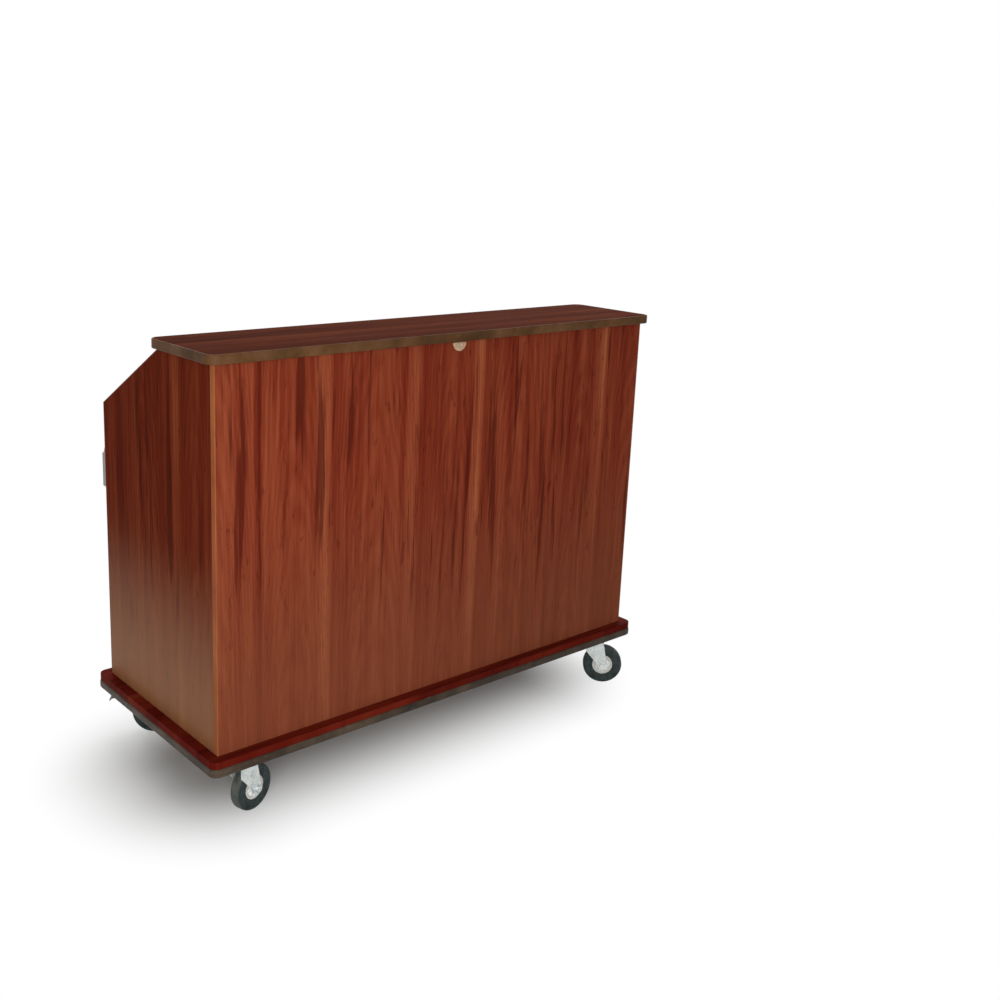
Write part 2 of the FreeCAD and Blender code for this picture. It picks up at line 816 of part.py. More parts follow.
# Speed rails: folded troughs that hook over the worktop's raised edge, with two end plates each
def speed_rails():
    sheet_metal = dim("rail_sheet")
    play = dim("side_play")
    hook_back = -dim("marine_width") - play
    ridge = dim("marine_height")
    reach = dim("rail_reach")
    low = -dim("rail_drop")
    lip = low + dim("rail_lip")
    back = play + sheet_metal
    trough_profile = [
        (hook_back - sheet_metal, ridge - dim("rail_tongue")),
        (hook_back, ridge - dim("rail_tongue")),
        (hook_back, ridge),
        (play, ridge),
        (play, low),
        (reach, low),
        (reach, lip),
        (reach - dim("rail_lip_return"), lip),
        (reach - dim("rail_lip_return"), lip - sheet_metal),
        (reach - sheet_metal, lip - sheet_metal),
        (reach - sheet_metal, low + sheet_metal),
        (back, low + sheet_metal),
        (back, ridge + sheet_metal),
        (hook_back - sheet_metal, ridge + sheet_metal),
    ]
    end_profile = [
        (back, low + sheet_metal),
        (reach - sheet_metal, low + sheet_metal),
        (reach - sheet_metal, lip - sheet_metal),
        (reach - dim("rail_lip_return"), lip - sheet_metal),
        (back + dim("rail_end_shoulder"), -dim("rail_end_drop")),
        (back, -dim("rail_end_drop")),
    ]
    rail_end = inner_half - dim("rail_inset")
    starts = {"left": -rail_end, "right": rail_end - dim("rail_length")}
    for side, x in starts.items():
        trough = new_body(f"{side}_speed_rail")
        sketch = sketch_on(trough, "YZ_Plane")
        polygon(sketch, trough_profile)
        pad(trough, sketch, dim("rail_length"))
        place(trough, x, rear_y, worktop_z)
        node(trough)
        plates = []
        for shift in (0, dim("rail_length") - sheet_metal):
            plate = new_body(f"{side}_rail_end")
            sketch = sketch_on(plate, "YZ_Plane")
            polygon(sketch, end_profile)
            pad(plate, sketch, sheet_metal)
            place(plate, x + shift, rear_y, worktop_z)
            plates.append(plate)
        group(f"{side}_rail_ends", plates)


# Casters: bolted plate with the upper race, kingpin, fork, axle, wheel and, at the rear, a brake
SHARE_DIGITS = 9
plate_z = dim("caster_height") - dim("plate_thickness")
race_z = plate_z - dim("race_height")
crown_z = race_z - dim("swivel_clearance")
axle_z = dim("wheel_diameter") / 2
leg_outside = dim("fork_gap") + 2 * dim("fork_sheet")
pin_x = -dim("brake_ahead")
pin_z = dim("brake_height")


def turned_place(x, y, heading, ahead, aside=0):
    along = about_z(heading).multVec(FreeCAD.Vector(1, 0, 0))
    cosine_share = round(along.x, SHARE_DIGITS)
    sine_share = round(along.y, SHARE_DIGITS)
    return x + cosine_share * ahead - sine_share * aside, y + sine_share * ahead + cosine_share * aside


def caster_plate(name, x, y):
    body = new_body(f"caster_{name}_plate")
    bore = dim("kingpin_diameter") + 2 * running
    race = sketch_on(body, "XY_Plane", race_z)
    circle(race, 0, 0, dim("race_diameter"))
    circle(race, 0, 0, bore)
    pad(body, race, dim("race_height"))
    flange = sketch_on(body, "XY_Plane", plate_z)
    plate_length = dim("bolt_pitch_long") + 2 * dim("plate_margin")
    rectangle(flange, plate_length, dim("bolt_pitch_short") + 2 * dim("plate_margin"))
    circle(flange, 0, 0, bore)
    for bolt_x, bolt_y in bolt_places(as_size(0), as_size(0)):
        circle(flange, bolt_x, bolt_y, dim("bolt_diameter") + 2 * running)
    pad(body, flange, dim("plate_thickness"))
    round_edges(body, dim("plate_corner_radius"), upright_at(plate_length))
    place(body, x, y, 0)
    node(body)


def caster_fork(name, x, y, heading, braked):
    offset = dim("swivel_offset")
    boss = dim("axle_boss_diameter") / 2
    nose = dim("brake_crown_front") if braked else dim("crown_front")
    body = new_body(f"caster_{name}_fork")
    legs = sketch_on(body, "XZ_Plane")
    polygon(legs, [(-nose, crown_z), (dim("crown_back"), crown_z), (offset + boss, axle_z),
                   (offset - boss, axle_z), (-nose, crown_z - dim("crown_brow"))])
    pad(body, legs, leg_outside, side="Symmetric")
    eye = sketch_on(body, "XZ_Plane")
    circle(eye, offset, axle_z, dim("axle_boss_diameter"))
    pad(body, eye, leg_outside, side="Symmetric")
    channel = sketch_on(body, "YZ_Plane")
    inside = crown_z - dim("crown_thickness")
    rectangle(channel, dim("fork_gap"), inside, 0, inside / 2)
    cut(body, channel)
    holes = sketch_on(body, "XZ_Plane")
    circle(holes, offset, axle_z, dim("axle_diameter") + 2 * running)
    if braked:
        circle(holes, pin_x, pin_z, dim("brake_pin_diameter") + 2 * running)
    cut(body, holes)
    bore = sketch_on(body, "XY_Plane", crown_z)
    circle(bore, 0, 0, dim("kingpin_diameter") + 2 * dim("swivel_clearance"))
    cut(body, bore, 2 * (dim("crown_thickness") + overrun))
    place(body, x, y, 0, about_z(heading))
    node(body)


def caster_axle(name, x, y, heading):
    height = dim("axle_nut_height")
    half = leg_outside / 2
    rod = cylinder(f"axle_{name}_rod", dim("axle_diameter"), leg_outside, 0, 0, -half)
    ends = [hexagon(f"axle_{name}_end", dim("axle_nut_width"), height, 0, 0, z)
            for z in (-half - height, half)]
    body = fused(f"caster_{name}_axle", [rod, *ends])
    axle_x, axle_y = turned_place(x, y, heading, dim("swivel_offset"))
    place(body, axle_x, axle_y, axle_z, about_z(heading).multiply(about_x(-QUARTER_TURN)))
    node(body)


def wheel(name, x, y, heading):
    bore = dim("axle_diameter") / 2 + running
    sleeve = dim("bushing_diameter") / 2
    half_gap = dim("fork_gap") / 2 - dim("side_play")
    half_hub = dim("hub_width") / 2
    half_web = dim("hub_web") / 2
    half_rim = dim("hub_rim_width") / 2
    half_tyre = dim("wheel_width") / 2
    boss = dim("hub_boss_diameter") / 2
    rim = dim("hub_diameter") / 2
    rim_inside = rim - dim("hub_rim")
    slope = half_rim - half_web
    seat = rim + running
    profiles = {
        "bushing": [(-half_gap, bore), (half_gap, bore), (half_gap, sleeve), (-half_gap, sleeve)],
        "hub": [(-half_hub, sleeve + running), (half_hub, sleeve + running), (half_hub, boss),
                (half_web, boss), (half_web, rim_inside - slope), (half_rim, rim_inside),
                (half_rim, rim), (-half_rim, rim), (-half_rim, rim_inside),
                (-half_web, rim_inside - slope), (-half_web, boss), (-half_hub, boss)],
        "tyre": [(-half_rim, seat), (half_rim, seat), (half_tyre, seat + half_tyre - half_rim),
                 (half_tyre, axle_z), (-half_tyre, axle_z), (-half_tyre, seat + half_tyre - half_rim)],
    }
    axle_x, axle_y = turned_place(x, y, heading, dim("swivel_offset"))
    for part, corners in profiles.items():
        body = new_body(f"caster_{name}_{part}")
        turned(body, corners)
        if part == "tyre":
            round_edges(body, dim("tread_round"), lambda edge: math.isclose(
                edge.BoundBox.ZMax, axle_z.value, rel_tol=1e-6) and edge.BoundBox.YLength < half_rim.value)
        place(body, axle_x, axle_y, axle_z, about_z(heading))
        node(body)


# Cosine and sine of the two angles between the line from pin to axle and the edges of the brake shoe
SHOE_SHARES = ((0.927, 0.375), (0.643, 0.766))


def brake(name, x, y, heading):
    toward_x = dim("swivel_offset") + dim("brake_ahead")
    toward_z = axle_z - dim("brake_height")
    distance = root_of(toward_x * toward_x + toward_z * toward_z)
    shoe = distance - axle_z - dim("shoe_clearance")
    aim_x_share = toward_x / distance
    aim_z_share = toward_z / distance
    shoe_edges = []
    for cosine_share, sine_share in SHOE_SHARES:
        shoe_edges.append((pin_x + shoe * (aim_x_share * cosine_share + aim_z_share * sine_share),
                           pin_z + shoe * (aim_z_share * cosine_share - aim_x_share * sine_share)))
    thick = dim("pedal_sheet")
    foot_x = pin_x - dim("pedal_reach")
    foot_z = pin_z - dim("pedal_fall")
    toe = dim("pedal_toe")
    width = dim("fork_gap") - 2 * dim("pedal_play")
    body = new_body(f"caster_{name}_brake_pedal")
    boss = sketch_on(body, "XZ_Plane")
    circle(boss, pin_x, pin_z, dim("pedal_boss_diameter"))
    pad(body, boss, width, side="Symmetric")
    arm = sketch_on(body, "XZ_Plane")
    polygon(arm, [(pin_x, pin_z + thick / 2), (foot_x, foot_z + thick / 2),
                  (foot_x - toe, foot_z + thick / 2 - toe), (foot_x - toe, foot_z - thick / 2 - toe),
                  (foot_x, foot_z - thick / 2), (pin_x, pin_z - thick / 2)])
    pad(body, arm, width, side="Symmetric")
    cam = sketch_on(body, "XZ_Plane")
    polygon(cam, [(pin_x, pin_z), *shoe_edges])
    pad(body, cam, width, side="Symmetric")
    hole = sketch_on(body, "XZ_Plane")
    circle(hole, pin_x, pin_z, dim("brake_pin_diameter") + 2 * running)
    cut(body, hole)
    place(body, x, y, 0, about_z(heading))
    node(body)
    end_x, end_y = turned_place(x, y, heading, pin_x, -leg_outside / 2)
    node(cylinder(f"caster_{name}_brake_pin", dim("brake_pin_diameter"), leg_outside,
                  end_x, end_y, pin_z, about_z(heading).multiply(about_x(-QUARTER_TURN))))


def kingpin(x, y):
    body = new_body("kingpin")
    shank = dim("kingpin_diameter") / 2
    head = dim("kingpin_head_diameter") / 2
    head_z = crown_z - dim("crown_thickness") - dim("swivel_clearance")
    low = head_z - dim("kingpin_head_height")
    turned(body, [(0, low), (head, low), (head, head_z), (shank, head_z), (shank, dim("caster_height")),
                  (0, dim("caster_height"))], "XZ_Plane", "Z_Axis")
    place(body, x, y, 0)
    return body


def caster_bolt(x, y):
    head = hexagon("bolt_head", dim("bolt_head_width"), dim("bolt_head_height"),
                   x, y, plate_z - dim("bolt_head_height"))
    shank = cylinder("bolt_shank", dim("bolt_diameter"), dim("bolt_grip"), x, y, plate_z)
    return fused("caster_bolt", [head, shank])


def casters():
    pins = []
    bolts = []
    for name, (x, y, heading, braked) in CASTERS.items():
        caster_plate(name, x, y)
        caster_fork(name, x, y, heading, braked)
        caster_axle(name, x, y, heading)
        wheel(name, x, y, heading)
        if braked:
            brake(name, x, y, heading)
        pins.append(kingpin(x, y))
        bolts += [caster_bolt(bolt_x, bolt_y) for bolt_x, bolt_y in bolt_places(x, y)]
    group("caster_kingpins", pins)
    group("caster_bolts", bolts)


def write_parts():
    doc.recompute()
    failed = [item.Label for item in doc.Objects if {"Invalid", "Error"} & set(item.State)]
    failed += [item.Label for item in nodes if item.Shape.isNull() or not item.Shape.isValid()]
    if failed:
        raise RuntimeError("not built: " + ", ".join(failed))
    os.makedirs("parts", exist_ok=True)
    for item in nodes:
        item.Shape.exportStep(f"parts/{item.Label}.step")
        print(item.Label, len(item.Shape.Solids), round(item.Shape.Volume))


base()
cabinet()
bar_top()
worktop()
brackets()
badge()
ice_bin()
drain()
speed_rails()
casters()
write_parts()
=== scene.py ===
import bpy
import bmesh
import json
import math
from mathutils import Matrix, Vector


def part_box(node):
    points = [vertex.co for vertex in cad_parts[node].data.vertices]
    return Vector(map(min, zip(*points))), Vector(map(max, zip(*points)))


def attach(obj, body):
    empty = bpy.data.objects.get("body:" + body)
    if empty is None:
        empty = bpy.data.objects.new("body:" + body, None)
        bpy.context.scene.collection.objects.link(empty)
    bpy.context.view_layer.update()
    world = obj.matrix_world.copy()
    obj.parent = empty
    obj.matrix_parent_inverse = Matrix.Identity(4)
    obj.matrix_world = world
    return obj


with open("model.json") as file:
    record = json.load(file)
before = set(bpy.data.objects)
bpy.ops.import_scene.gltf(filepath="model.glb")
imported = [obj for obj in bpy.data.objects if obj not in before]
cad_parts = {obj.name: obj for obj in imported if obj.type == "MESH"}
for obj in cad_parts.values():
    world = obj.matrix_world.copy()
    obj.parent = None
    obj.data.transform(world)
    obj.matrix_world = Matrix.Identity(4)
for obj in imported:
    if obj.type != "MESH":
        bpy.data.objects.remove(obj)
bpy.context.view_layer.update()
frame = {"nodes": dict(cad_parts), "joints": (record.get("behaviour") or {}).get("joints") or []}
nodes = frame["nodes"]
joints = {joint["name"]: joint for joint in frame["joints"]}
print("portable bar: frame loaded,", len(nodes), "nodes")

# Casters, placed and turned by their swivel and roll joints
cornerWords = {"fl": "front_left", "fr": "front_right", "rl": "rear_left", "rr": "rear_right"}
casters = {}
for corner, words in cornerWords.items():
    swivel = joints[words + "_swivel"]["pos_m"]
    roll = joints[words + "_roll"]
    casters[corner] = dict(place=(swivel[0], swivel[1], 0), centre=roll["pos_m"],
                           turn=math.atan2(roll["axis"][0], -roll["axis"][1]))


# Small helpers for the finishes
white = (1, 1, 1, 1)
noiseMiddle = 0.5
edgeSamples = 4


def tint(text):  # six hex digits as seen on screen, turned into a shader colour
    parts = [int(text[i:i + 2], 16) / 255 for i in (0, 2, 4)]
    return [p / 12.92 if p < 0.04045 else ((p + 0.055) / 1.055) ** 2.4 for p in parts] + [1.0]


def startFinish(name, look):
    mat = bpy.data.materials.new(name)
    mat.use_nodes = True
    shader = mat.node_tree.nodes["Principled BSDF"]
    shader.inputs["Roughness"].default_value = look["roughness"]
    shader.inputs["Specular IOR Level"].default_value = look["gloss"]
    shader.inputs["Metallic"].default_value = look.get("metal", 0.0)
    return mat, mat.node_tree, shader


def feed(tree, value, socket):
    if isinstance(value, bpy.types.NodeSocket):
        tree.links.new(value, socket)
    else:
        socket.default_value = value


def objectPoint(tree, wheel=None):  # with a wheel, the point is measured from its middle and along its axle
    point = tree.nodes.new("ShaderNodeTexCoord").outputs["Object"]
    if wheel is None:
        return point
    back = Matrix.Rotation(-wheel["turn"], 3, "Z")
    shift = tree.nodes.new("ShaderNodeMapping")
    shift.inputs["Location"].default_value = -(back @ Vector(wheel["centre"]))
    shift.inputs["Rotation"].default_value = (0, 0, -wheel["turn"])
    tree.links.new(point, shift.inputs["Vector"])
    return shift.outputs["Vector"]


def axesOf(tree, point):
    split = tree.nodes.new("ShaderNodeSeparateXYZ")
    tree.links.new(point, split.inputs[0])
    return dict(zip("XYZ", split.outputs))


def pointFrom(tree, x, y, z):
    joined = tree.nodes.new("ShaderNodeCombineXYZ")
    for value, socket in zip((x, y, z), joined.inputs):
        feed(tree, value, socket)
    return joined.outputs[0]


def stretch(tree, point, scale):
    mapping = tree.nodes.new("ShaderNodeMapping")
    mapping.inputs["Scale"].default_value = scale
    tree.links.new(point, mapping.inputs["Vector"])
    return mapping.outputs["Vector"]


def noise(tree, point, drawn=None, scale=1.0, detail=3.0, rough=0.5, swirl=0.0):
    if drawn:  # a scale of its own on each axis, to draw the noise out
        point = stretch(tree, point, drawn)
    tex = tree.nodes.new("ShaderNodeTexNoise")
    tree.links.new(point, tex.inputs["Vector"])
    for key, value in (("Scale", scale), ("Detail", detail), ("Roughness", rough), ("Distortion", swirl)):
        tex.inputs[key].default_value = value
    return tex.outputs["Fac"]


def noises(tree, point, table):
    return {key: noise(tree, point, **settings) for key, settings in table.items()}


def sums(tree, how, first, second=0.0):
    node = tree.nodes.new("ShaderNodeMath")
    node.operation = how
    feed(tree, first, node.inputs[0])
    feed(tree, second, node.inputs[1])
    return node.outputs[0]


def plus(tree, first, *others):
    total = first
    for other in others:
        total = sums(tree, "ADD", total, other)
    return total


def minus(tree, first, second):
    return sums(tree, "SUBTRACT", first, second)


def times(tree, first, second):
    return sums(tree, "MULTIPLY", first, second)


def weighted(tree, first, second, shares):
    return plus(tree, times(tree, first, shares[0]), times(tree, second, shares[1]))


def spread(tree, value, low, high, toLow=0.0, toHigh=1.0):
    node = tree.nodes.new("ShaderNodeMapRange")
    node.interpolation_type = "SMOOTHSTEP"
    tree.links.new(value, node.inputs["Value"])
    for key, number in (("From Min", low), ("From Max", high), ("To Min", toLow), ("To Max", toHigh)):
        node.inputs[key].default_value = number
    return node.outputs["Result"]


def ramp(tree, value, stops):  # stops are (place, hex colour) or (place, grey)
    node = tree.nodes.new("ShaderNodeValToRGB")
    tree.links.new(value, node.inputs["Fac"])
    points = node.color_ramp.elements
    while len(points) < len(stops):
        points.new(0.5)
    for point, (place, colour) in zip(points, stops):
        point.position = place
        point.color = tint(colour) if isinstance(colour, str) else (colour, colour, colour, 1.0)
    return node.outputs["Color"]


def mottled(tree, value, look, places=(0.3, 0.5, 0.7)):
    return ramp(tree, value, list(zip(places, (look["dark"], look["body"], look["light"]))))


def blendColours(tree, factor, first, second):
    node = tree.nodes.new("ShaderNodeMix")
    node.data_type = "RGBA"
    feed(tree, factor, node.inputs["Factor"])
    feed(tree, first, node.inputs["A"])
    feed(tree, tint(second), node.inputs["B"])
    return node.outputs["Result"]


def roughFrom(tree, value, middle, places, less, more):  # roughness about a middle, led by a noise
    return spread(tree, value, *places, middle - less, middle + more)


def coat(tree, shader, colour, roughness):
    tree.links.new(colour, shader.inputs["Base Color"])
    tree.links.new(roughness, shader.inputs["Roughness"])


def roundedNormal(tree, radius):  # softens the sheet and board edges as a small break would
    node = tree.nodes.new("ShaderNodeBevel")
    node.samples = edgeSamples
    node.inputs["Radius"].default_value = radius
    return node.outputs["Normal"]


def emboss(tree, shader, height, strength, distance, edge=0.0):
    bump = tree.nodes.new("ShaderNodeBump")
    bump.inputs["Strength"].default_value = strength
    bump.inputs["Distance"].default_value = distance
    tree.links.new(height, bump.inputs["Height"])
    if edge:
        tree.links.new(roundedNormal(tree, edge), bump.inputs["Normal"])
    tree.links.new(bump.outputs["Normal"], shader.inputs["Normal"])


# Wood-grain laminate: planked figure with flames and pores, and a paler brown painted low down on the front
# and sides, a painted sheen standing for the floor's reflection
laminateLooks = {
    "frontLaminate": dict(
        across="X", along="Z", sheet=2.7, start=-0.421, repeat=0.521, split=0.557, gloss=0.012,
        roughness=0.42, tones=("45120b", "642013", "79311e", "8b432b", "9d5837"), low="754630",
        lowFade=(0.95, 0.25, 0.0, 0.5), flame=0.7, flameFade=(0.3, 0.62), trimAt=0.759),
    "sideLaminate": dict(
        across="Y", along="Z", start=-0.123, repeat=0.513, split=0.557, gloss=0.003,
        roughness=0.4, tones=("380d06", "50170b", "612211", "72311b", "864526"), low="8c6340",
        lowFade=(0.78, 0.2, 0.0, 0.62), flame=0.62, flameFade=(0.3, 0.62), sheen=(0.7, 0.26, 0.003, 0.065)),
    # topLaminate and deckLaminate are darker copies of the cabinet's laminate: painted shade
    "topLaminate": dict(
        across="Y", along="X", start=-0.17, repeat=0.36, split=0.5, gloss=0.001,
        roughness=0.42, tones=("2f1006", "3d170a", "4b1f0f", "592816", "683622"), flame=0.45),
    "deckLaminate": dict(
        across="Y", along="X", start=-0.31, repeat=0.42, split=0.5, gloss=0.006,
        roughness=0.36, tones=("360c08", "470f0a", "56150d", "651f13", "742b1a"), flame=0.5),
    "apronLaminate": dict(
        across="Z", along="X", start=0.86, repeat=0.19, split=0.6, gloss=0.06,
        roughness=0.4, tones=("6f341e", "8d472a", "a25737", "b16544", "c17b56"), flame=0.5),
}
grainNoises = dict(
    waver=dict(drawn=(3, 1.1, 1), detail=2),
    fading=dict(drawn=(1.4, 1.9, 1), detail=2),
    wander=dict(drawn=(7, 1.6, 1), detail=3),
    streak=dict(drawn=(26, 0.8, 1), detail=4, rough=0.6, swirl=0.25),
    fibre=dict(drawn=(190, 3.2, 1), detail=3, rough=0.6),
    pores=dict(drawn=(620, 17, 1), detail=2),
    flames=dict(drawn=(34, 1.7, 1), detail=4, rough=0.62, swirl=0.3),
    flecks=dict(drawn=(64, 13, 1), detail=3, rough=0.6, swirl=0.3),
)
figure = dict(
    waver=0.03, fading=(0.3, 0.7, 0.5, 1.15), plankMiddle=0.48,
    firstEdge=[(0.0, 0.4), (0.06, 0.46)],
    joint=[(-0.1, 0.5), (-0.02, 0.64), (0.01, 0.38), (0.08, 0.46)],
    lastEdge=[(0.88, 0.52), (0.965, 0.86), (1.0, 0.5)],
    bow=1.5, rise=1.15, wander=0.9, arches=34.0,
    shares=dict(plank=0.62, streak=0.62, fibre=0.24, arches=0.028), tonePlaces=(0.39, 0.57, 0.72, 0.86, 1.0),
    flames=(0.34, 0.46, 1.0, 0.0), flecks=(0.3, 0.4, 0.6, 0.0), pores=(0.34, 0.4, 0.3, 0.0),
    trimAndHighlight="a5663c", trimWidth=0.002, trimWear=(0.3, 0.6, 0.35, 0.8),
    matt=dict(places=(0.3, 0.7), less=0.05, more=0.06),
    poreDepth=0.5, relief=dict(strength=0.09, distance=0.0005, edge=0.0012),
)


def plankTone(tree, place, split, fading):  # a grey that steps at each joint between planks
    joint = [(split + past, grey) for past, grey in figure["joint"]]
    grey = ramp(tree, place, figure["firstEdge"] + joint + figure["lastEdge"])
    step = minus(tree, grey, figure["plankMiddle"])
    return plus(tree, times(tree, step, spread(tree, fading, *figure["fading"])), figure["plankMiddle"])


def plankArches(tree, place, along, split, wander):  # nested arches in the middle of each plank
    first = sums(tree, "DIVIDE", minus(tree, place, split / 2), split / 2)
    other = sums(tree, "DIVIDE", minus(tree, place, (1 + split) / 2), (1 - split) / 2)
    isOther = sums(tree, "GREATER_THAN", place, split)
    local = plus(tree, times(tree, first, minus(tree, 1.0, isOther)), times(tree, other, isOther))
    bow = times(tree, times(tree, local, local), figure["bow"])
    phase = plus(tree, times(tree, along, figure["rise"]), bow, times(tree, wander, figure["wander"]))
    return sums(tree, "SINE", times(tree, phase, figure["arches"]))


def laminate(name, look):
    mat, tree, shader = startFinish(name, look)
    axes = axesOf(tree, objectPoint(tree))
    across, along = axes[look["across"]], axes[look["along"]]
    third = [axis for axis in "XYZ" if axis not in (look["across"], look["along"])][0]
    grain = pointFrom(tree, across, along, plus(tree, axes[third], look.get("sheet", 0.0)))
    layer = noises(tree, grain, grainNoises)
    bent = plus(tree, across, times(tree, minus(tree, layer["waver"], noiseMiddle), figure["waver"]))
    place = sums(tree, "FRACT", sums(tree, "DIVIDE", minus(tree, bent, look["start"]), look["repeat"]))
    layer["plank"] = plankTone(tree, place, look["split"], layer["fading"])
    layer["arches"] = plankArches(tree, place, along, look["split"], layer["wander"])
    tone = plus(tree, *[times(tree, layer[key], share) for key, share in figure["shares"].items()])
    colour = ramp(tree, tone, list(zip(figure["tonePlaces"], look["tones"])))
    if "low" in look:  # the paler brown of the lower part is painted sheen, a painted reflection of the floor
        colour = blendColours(tree, spread(tree, axes["Z"], *look["lowFade"]), colour, look["low"])
    dark = look["tones"][0]
    flames = spread(tree, layer["flames"], *figure["flames"])
    marks = sums(tree, "MAXIMUM", flames, spread(tree, layer["flecks"], *figure["flecks"]))
    if "flameFade" in look:  # the dark marks fade out towards the floor
        marks = times(tree, marks, spread(tree, axes["Z"], *look["flameFade"]))
    colour = blendColours(tree, times(tree, marks, look["flame"]), colour, dark)
    colour = blendColours(tree, spread(tree, layer["pores"], *figure["pores"]), colour, dark)
    if "trimAt" in look:  # the tan line at the corners: partly the trimmed sheet edge, partly a painted highlight on the corner
        trimEnd = look["trimAt"] + figure["trimWidth"]
        trimAndHighlightMask = spread(tree, sums(tree, "ABSOLUTE", across), look["trimAt"], trimEnd)
        trimAndHighlightMask = times(tree, trimAndHighlightMask, spread(tree, layer["fibre"], *figure["trimWear"]))
        colour = blendColours(tree, trimAndHighlightMask, colour, figure["trimAndHighlight"])
    if "sheen" in look:  # the lower part of the sheet is rubbed smoother
        tree.links.new(spread(tree, axes["Z"], *look["sheen"]), shader.inputs["Specular IOR Level"])
    coat(tree, shader, colour, roughFrom(tree, layer["fibre"], look["roughness"], **figure["matt"]))
    relief = plus(tree, layer["fibre"], times(tree, layer["pores"], figure["poreDepth"]))
    emboss(tree, shader, relief, **figure["relief"])
    return mat


# Vinyl edge mouldings, with scuffs along the parts that meet walls and shoes
vinylLooks = {
    "topBand": dict(dark="3e2918", body="573b23", light="6d4c32", scuff="806549", roughness=0.34,
                    gloss=0.04),
    "bumperVinyl": dict(dark="211a14", body="382d23", light="4d4034", scuff="77695b", roughness=0.4,
                        gloss=0.12),
}
vinylNoises = dict(
    cloud=dict(scale=9, detail=4, rough=0.6),
    pebble=dict(scale=900, detail=2),
    rub=dict(drawn=(14, 14, 160), detail=4, rough=0.65),
)
vinylWear = dict(
    places=(0.3, 0.5, 0.72), scuffs=(0.6, 0.74, 0.0, 0.5),
    matt=dict(places=(0.35, 0.75), less=0.06, more=0.14),
    relief=dict(strength=0.12, distance=0.0004, edge=0.0008),
)


def vinyl(name, look):
    mat, tree, shader = startFinish(name, look)
    layer = noises(tree, objectPoint(tree), vinylNoises)
    colour = mottled(tree, layer["cloud"], look, vinylWear["places"])
    colour = blendColours(tree, spread(tree, layer["rub"], *vinylWear["scuffs"]), colour, look["scuff"])
    coat(tree, shader, colour, roughFrom(tree, layer["rub"], look["roughness"], **vinylWear["matt"]))
    emboss(tree, shader, layer["pebble"], **vinylWear["relief"])
    return mat


# Softwood of the hidden frame, and the stained cleats
timberLooks = {
    "timber": dict(dark="8a6238", body="b08a58", light="c9a877", knot="6a4324", roughness=0.7,
                   gloss=0.25),
    "stainedTimber": dict(dark="3a1810", body="522417", light="66321f", knot="27100a", roughness=0.7,
                          gloss=0.25),
}
timberNoises = dict(
    grain=dict(drawn=(2.2, 60, 60), detail=4, rough=0.6, swirl=0.6),
    fine=dict(drawn=(8, 420, 420), detail=2),
    knots=dict(drawn=(5, 11, 11), detail=1),
)
timberWear = dict(
    knots=(0.7, 0.78, 0.0, 0.7), matt=dict(places=(0.3, 0.7), less=0.1, more=0.1),
    relief=dict(strength=0.25, distance=0.0006, edge=0.0015),
)


def timber(name, look):
    mat, tree, shader = startFinish(name, look)
    layer = noises(tree, objectPoint(tree), timberNoises)
    colour = mottled(tree, layer["grain"], look)
    colour = blendColours(tree, spread(tree, layer["knots"], *timberWear["knots"]), colour, look["knot"])
    coat(tree, shader, colour, roughFrom(tree, layer["fine"], look["roughness"], **timberWear["matt"]))
    emboss(tree, shader, plus(tree, layer["grain"], layer["fine"]), **timberWear["relief"])
    return mat


# Stainless sheet, brushed along one axis, with faint wipe marks
steelLooks = {
    "worktopSteel": dict(brush=(3, 420, 420), dark="b3b0ac", light="cbc8c4", shine=(0.3, 0.38), metal=0.8),
    "binSteel": dict(brush=(260, 260, 4), dark="b3b0ac", light="cac7c2", shine=(0.28, 0.36), metal=0.8),
    "railSteel": dict(brush=(3, 900, 900), dark="c3beb8", light="d6d1cb", shine=(0.28, 0.34), metal=0.75),
    # the rail ends are the rails' stainless painted darker: painted shade
    "shadedRailEndSteel": dict(brush=(900, 900, 3), dark="77716b", light="8d8781", shine=(0.3, 0.38), metal=0.75),
}
steelNoises = dict(
    wipes=dict(drawn=(1.6, 6, 6), detail=3, rough=0.5, swirl=0.3),
    spots=dict(scale=90, detail=2),
)
steelWear = dict(
    roughness=0.33, gloss=0.5, lines=dict(detail=4, rough=0.7), places=(0.35, 0.65),
    toneShares=(0.6, 0.4), shineShares=(0.5, 0.5), spot="6d6a66", spots=(0.7, 0.78, 0.0, 0.05),
    relief=dict(strength=0.06, distance=0.0003, edge=0.0009),
)


def brushedSteel(name, look):
    mat, tree, shader = startFinish(name, dict(steelWear, metal=look["metal"]))
    point = objectPoint(tree)
    lines = noise(tree, point, look["brush"], **steelWear["lines"])
    layer = noises(tree, point, steelNoises)
    tone = weighted(tree, lines, layer["wipes"], steelWear["toneShares"])
    colour = ramp(tree, tone, list(zip(steelWear["places"], (look["dark"], look["light"]))))
    colour = blendColours(tree, spread(tree, layer["spots"], *steelWear["spots"]), colour, steelWear["spot"])
    shine = weighted(tree, lines, layer["wipes"], steelWear["shineShares"])
    coat(tree, shader, colour, spread(tree, shine, *steelWear["places"], *look["shine"]))
    emboss(tree, shader, lines, **steelWear["relief"])
    return mat


# Bright zinc plating of the caster sheet, bolts and brackets
zincLooks = {
    "zinc": dict(dark="adb5b5", body="cad0ce", light="dcdfdb", stain="bdbaab", roughness=0.33,
                 gloss=0.5, metal=0.4),
}
zincNoises = dict(
    cloud=dict(scale=38, detail=4, rough=0.6),
    stain=dict(scale=14, detail=3),
)
zincWear = dict(
    flakes=240, flakeShares=(0.75, 0.25), stains=(0.56, 0.7, 0.0, 0.4),
    matt=dict(places=(0.3, 0.7), less=-0.1, more=-0.06),  # the pale flakes are the smoother ones
    relief=dict(strength=0.08, distance=0.0006, edge=0.0008),
)


